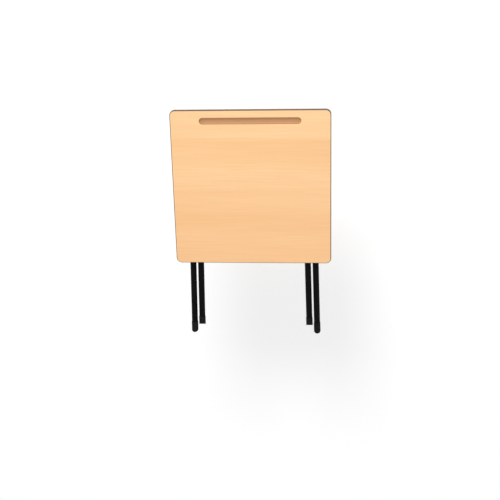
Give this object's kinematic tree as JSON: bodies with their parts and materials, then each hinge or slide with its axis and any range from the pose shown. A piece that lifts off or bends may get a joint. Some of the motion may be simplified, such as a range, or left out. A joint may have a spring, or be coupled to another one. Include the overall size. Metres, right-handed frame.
{
  "type": "folding exam desk",
  "caption": "Square wooden desk top with a pen groove, on a crossed tubular steel leg frame that folds flat behind it.",
  "frame": {"origin": "on the floor plane, in the middle of the folded desk's length and width", "axes": "+X along the board's width, +Y towards the far edge with the pen groove, +Z out of the working face; the desk is folded flat and lies with its working face up"},
  "size_m": [0.6, 0.903, 0.0454],
  "materials": {
    "beech_laminate": "satin",
    "brown_mdf": "satin",
    "backing_laminate": "matte",
    "black_powder_coat": "semi-gloss",
    "foot_rubber": "matte",
    "black_plastic": "matte",
    "zinc_steel": "satin"
  },
  "bodies": {
    "board": {"board_core": "brown_mdf", "top_laminate": "beech_laminate", "backing_laminate": "backing_laminate", "left_hinge_saddle": "zinc_steel", "right_hinge_saddle": "zinc_steel", "left_catch_hook": "zinc_steel", "right_catch_hook": "zinc_steel", "saddle_screws": "zinc_steel", "hook_screws": "zinc_steel"},
    "outer_frame": {"outer_top_bar": "black_powder_coat", "outer_bar_plugs": "black_plastic", "outer_left_leg": "black_powder_coat", "outer_right_leg": "black_powder_coat", "outer_left_foot": "foot_rubber", "outer_right_foot": "foot_rubber", "left_pivot_bolt": "zinc_steel", "right_pivot_bolt": "zinc_steel", "left_pivot_washer": "zinc_steel", "right_pivot_washer": "zinc_steel", "left_pivot_spacer": "black_plastic", "right_pivot_spacer": "black_plastic"},
    "inner_bar": {"inner_top_bar": "black_powder_coat", "inner_bar_plugs": "black_plastic"},
    "inner_frame": {"inner_left_leg": "black_powder_coat", "inner_right_leg": "black_powder_coat", "inner_stretcher": "black_powder_coat", "inner_left_foot": "foot_rubber", "inner_right_foot": "foot_rubber", "left_pivot_bush": "zinc_steel", "right_pivot_bush": "zinc_steel", "left_cap_nut": "zinc_steel", "right_cap_nut": "zinc_steel"}
  },
  "joints": [
    {"name": "unfold", "type": "hinge", "parent": "board", "child": "outer_frame", "pos_m": [0, 0.35655, 0.0151], "axis": [1, 0, 0], "range_deg": [0, 58.17]},
    {"name": "inner_bar_slide", "type": "slide", "parent": "board", "child": "inner_bar", "axis": [0, -1, 0], "range_m": [0, 0.3785]},
    {"name": "inner_frame_turn", "type": "hinge", "parent": "inner_bar", "child": "inner_frame", "pos_m": [0, 0.32804, 0.0151], "axis": [1, 0, 0], "range_deg": [0, 114.76]}
  ],
  "couplings": [
    {"joint": "inner_bar_slide", "follows": "unfold", "m_per_rad": 0.37282},
    {"joint": "inner_frame_turn", "follows": "unfold", "ratio": 1.9729}
  ]
}
